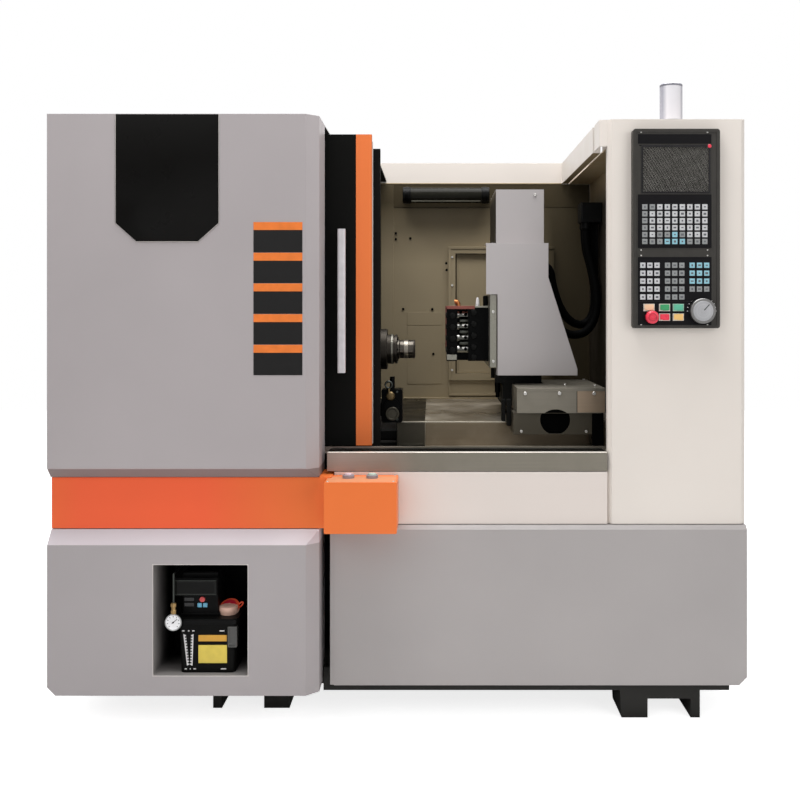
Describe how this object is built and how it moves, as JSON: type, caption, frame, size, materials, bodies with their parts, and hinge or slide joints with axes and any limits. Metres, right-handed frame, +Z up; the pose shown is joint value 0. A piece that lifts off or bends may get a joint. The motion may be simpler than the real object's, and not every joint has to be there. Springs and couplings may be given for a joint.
{
  "type": "cnc turning lathe",
  "caption": "Enclosed gang-tool turning lathe with a sliding door, spindle, vertical tool slide on a long-axis saddle, control panel and oil lubricator",
  "frame": {"origin": "bottom centre of the bounding box, on the floor under the middle of the machine", "axes": "+X along the spindle axis to the right, +Y from the front to the rear, +Z up"},
  "size_m": [2.056, 1.48, 1.942],
  "materials": {
    "aluminium": "machined",
    "black_paint": "satin powder coat",
    "black_plastic": "moulded",
    "black_steel": "blackened steel",
    "cast_iron": "painted casting",
    "cream_paint": "satin powder coat",
    "green_plastic": "moulded",
    "grey_paint": "satin powder coat",
    "ground_steel": "ground",
    "lamp_glass": "lamp tube",
    "olive_paint": "matte paint",
    "orange_paint": "satin powder coat",
    "orange_plastic": "moulded",
    "pale_plastic": "translucent",
    "panel_plastic": "textured",
    "peach_plastic": "moulded",
    "polished_steel": "polished",
    "red_plastic": "moulded",
    "rubber": "ribbed",
    "screen_glass": "dark display glass",
    "stainless": "brushed",
    "white_plastic": "moulded"
  },
  "bodies": {
    "root": {"base_frame": "black_paint", "bed_casting": "cast_iron", "headstock": "black_steel", "spindle_motor": "cast_iron", "drive_belt": "rubber", "upper_left_cover": "grey_paint", "orange_band": "orange_paint", "lower_left_cover": "grey_paint", "recess_liner": "grey_paint", "left_side_panel": "cream_paint", "left_roof": "grey_paint", "rear_cabinet": "cream_paint", "right_column_cover": "cream_paint", "front_sill": "stainless", "cream_front_panel": "cream_paint", "lower_right_panel": "grey_paint", "rear_wall": "olive_paint", "roof_rails": "cream_paint", "left_partition": "black_paint", "right_inner_wall": "olive_paint", "bed_cover": "stainless", "work_lamp": "lamp_glass", "coolant_nozzle": "black_steel", "z_servo": "black_plastic", "cable_box": "black_plastic", "lubricator_tank": "black_plastic", "lubricator_head": "black_plastic", "filler_cap": "orange_plastic", "pressure_gauge": "polished_steel", "control_case": "panel_plastic", "control_screen": "screen_glass", "signal_light": "pale_plastic", "conduits": "rubber"},
    "stop_head": {"emergency_stop": "red_plastic"},
    "pulse_wheel": {"handwheel": "aluminium"},
    "door": {"door_panel": "black_paint", "door_roof": "black_paint", "door_handle": "white_plastic"},
    "spindle": {"spindle_shaft": "ground_steel", "collet_chuck": "polished_steel", "spindle_pulley": "cast_iron"},
    "motor_rotor": {"motor_pulley": "cast_iron"},
    "z_carriage": {"saddle": "cast_iron", "saddle_covers": "stainless", "column": "cast_iron", "column_covers": "grey_paint", "x_servo": "black_plastic"},
    "z_screw": {"z_ball_screw": "ground_steel"},
    "x_screw": {"x_ball_screw": "ground_steel"},
    "x_carriage": {"slide_plate": "ground_steel", "tool_block": "black_steel", "tool_sleeves": "polished_steel"},
    "cabinet_leaf": {"cabinet_door": "cream_paint"},
    "switch_cap_left": {"switch_button_left": "peach_plastic"},
    "switch_cap_right": {"switch_button_right": "green_plastic"},
    "key_1": {"push_button_1": "peach_plastic"},
    "key_2": {"push_button_2": "green_plastic"},
    "key_3": {"push_button_3": "green_plastic"},
    "key_4": {"push_button_4": "red_plastic"},
    "key_5": {"push_button_5": "peach_plastic"}
  },
  "joints": [
    {"name": "door_slide", "type": "slide", "parent": "root", "child": "door", "axis": [1, 0, 0], "range_m": [0, 0.714]},
    {"name": "spindle_turn", "type": "hinge", "parent": "root", "child": "spindle", "pos_m": [0, -0.15, 1.099], "axis": [1, 0, 0], "continuous": true},
    {"name": "motor_turn", "type": "hinge", "parent": "root", "child": "motor_rotor", "pos_m": [0, -0.15, 1.419], "axis": [1, 0, 0], "continuous": true},
    {"name": "z_travel", "type": "slide", "parent": "root", "child": "z_carriage", "axis": [1, 0, 0], "range_m": [-0.095, 0.045], "deforming": ["conduits"]},
    {"name": "z_screw_turn", "type": "hinge", "parent": "root", "child": "z_screw", "pos_m": [0, 0.04, 0.74], "axis": [1, 0, 0], "range_deg": [-3420, 1620]},
    {"name": "x_travel", "type": "slide", "parent": "z_carriage", "child": "x_carriage", "axis": [0, 0, 1], "range_m": [-0.116, 0.04]},
    {"name": "x_screw_turn", "type": "hinge", "parent": "z_carriage", "child": "x_screw", "pos_m": [0.3185, -0.04, 1.2], "axis": [0, 0, 1], "range_deg": [-4176, 1440]},
    {"name": "stop_press", "type": "slide", "parent": "root", "child": "stop_head", "axis": [0, 1, 0], "range_m": [0, 0.005]},
    {"name": "pulse_wheel_turn", "type": "hinge", "parent": "root", "child": "pulse_wheel", "pos_m": [0.889, -0.6, 1.23], "axis": [0, 1, 0], "continuous": true},
    {"name": "cabinet_door_swing", "type": "hinge", "parent": "root", "child": "cabinet_leaf", "pos_m": [-0.709, 0.723, 1.2], "axis": [0, 0, 1], "range_deg": [0, 110]},
    {"name": "switch_left_press", "type": "slide", "parent": "root", "child": "switch_cap_left", "axis": [0, 0, -1], "range_m": [0, 0.003], "stiffness_N_per_m": 400},
    {"name": "switch_right_press", "type": "slide", "parent": "root", "child": "switch_cap_right", "axis": [0, 0, -1], "range_m": [0, 0.003], "stiffness_N_per_m": 400},
    {"name": "key_1_press", "type": "slide", "parent": "root", "child": "key_1", "axis": [0, 1, 0], "range_m": [0, 0.0025], "stiffness_N_per_m": 300},
    {"name": "key_2_press", "type": "slide", "parent": "root", "child": "key_2", "axis": [0, 1, 0], "range_m": [0, 0.0025], "stiffness_N_per_m": 300},
    {"name": "key_3_press", "type": "slide", "parent": "root", "child": "key_3", "axis": [0, 1, 0], "range_m": [0, 0.0025], "stiffness_N_per_m": 300},
    {"name": "key_4_press", "type": "slide", "parent": "root", "child": "key_4", "axis": [0, 1, 0], "range_m": [0, 0.0025], "stiffness_N_per_m": 300},
    {"name": "key_5_press", "type": "slide", "parent": "root", "child": "key_5", "axis": [0, 1, 0], "range_m": [0, 0.0025], "stiffness_N_per_m": 300}
  ],
  "couplings": [
    {"joint": "motor_turn", "follows": "spindle_turn", "ratio": 1.5},
    {"joint": "z_screw_turn", "follows": "z_travel", "rad_per_m": 628.32},
    {"joint": "x_screw_turn", "follows": "x_travel", "rad_per_m": 628.32}
  ]
}
